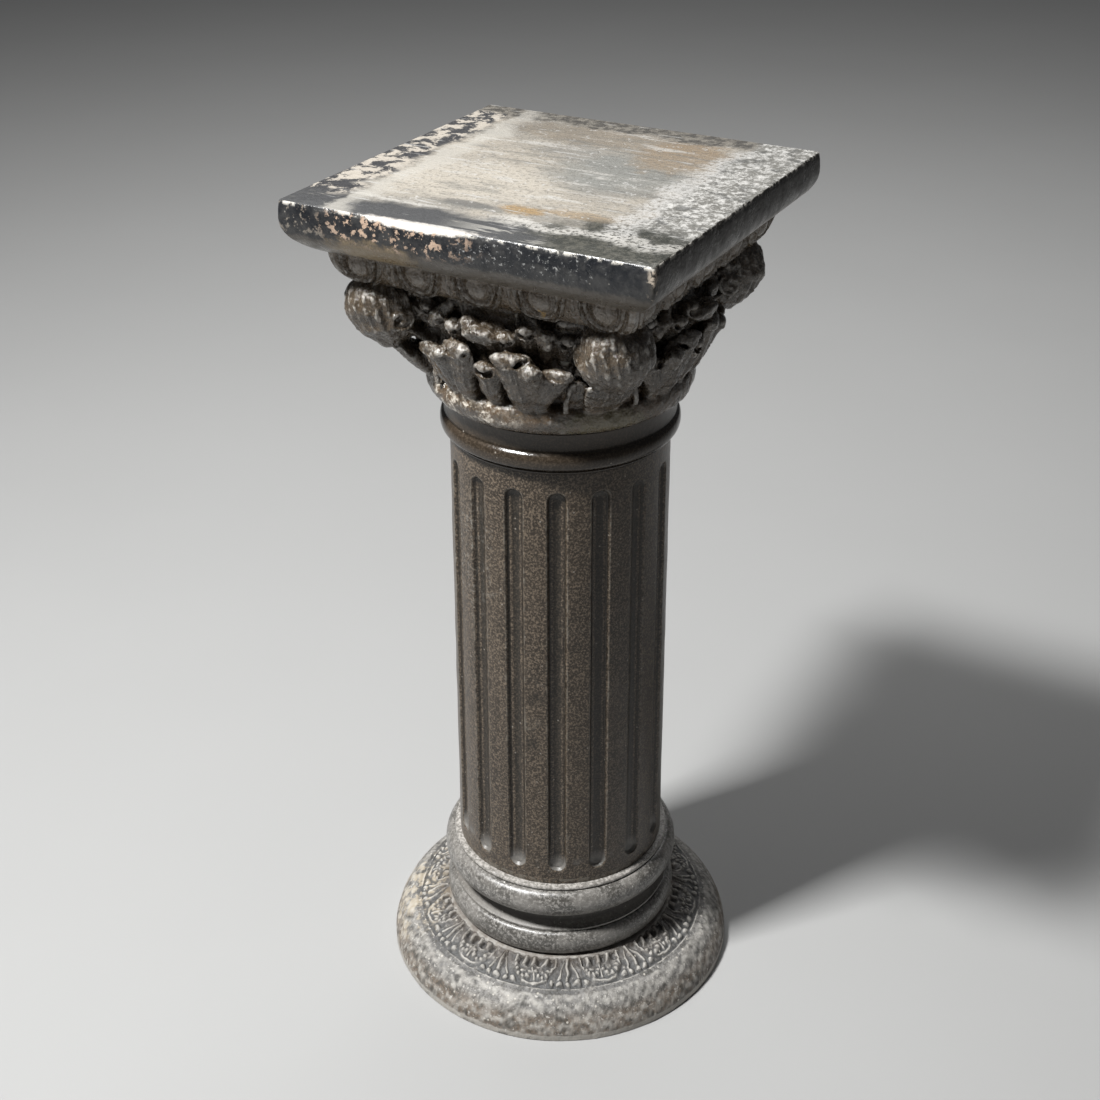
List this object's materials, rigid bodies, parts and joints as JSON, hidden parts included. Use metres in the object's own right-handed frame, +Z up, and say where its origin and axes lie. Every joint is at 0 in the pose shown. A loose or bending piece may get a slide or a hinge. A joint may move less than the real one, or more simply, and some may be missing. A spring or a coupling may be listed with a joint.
{
  "type": "cast iron column",
  "caption": "Short round column or pedestal: fluted shaft on a moulded base and a round leaf-ringed disc, with a leaf and scroll capital under a square slab.",
  "frame": {"origin": "middle of the disc's underside, on the floor", "axes": "+Z up along the column; the square slab's sides run along X and Y"},
  "size_m": [0.3884, 0.3884, 0.9],
  "materials": {
    "disc_finish": "worn grey and buff coat, grainy and dull, with dirt in the leaves",
    "base_finish": "black coat worn to grey on the mouldings, half dull",
    "shaft_finish": "warm black paint with fine speckle, satin",
    "capital_finish": "glossy black paint, chipped, with the slab's top bare, cream, grey and ochre"
  },
  "bodies": {
    "root": {"plinth_disc": "disc_finish", "base_moulding": "base_finish", "fluted_shaft": "shaft_finish", "leaf_capital": "capital_finish"}
  },
  "joints": []
}
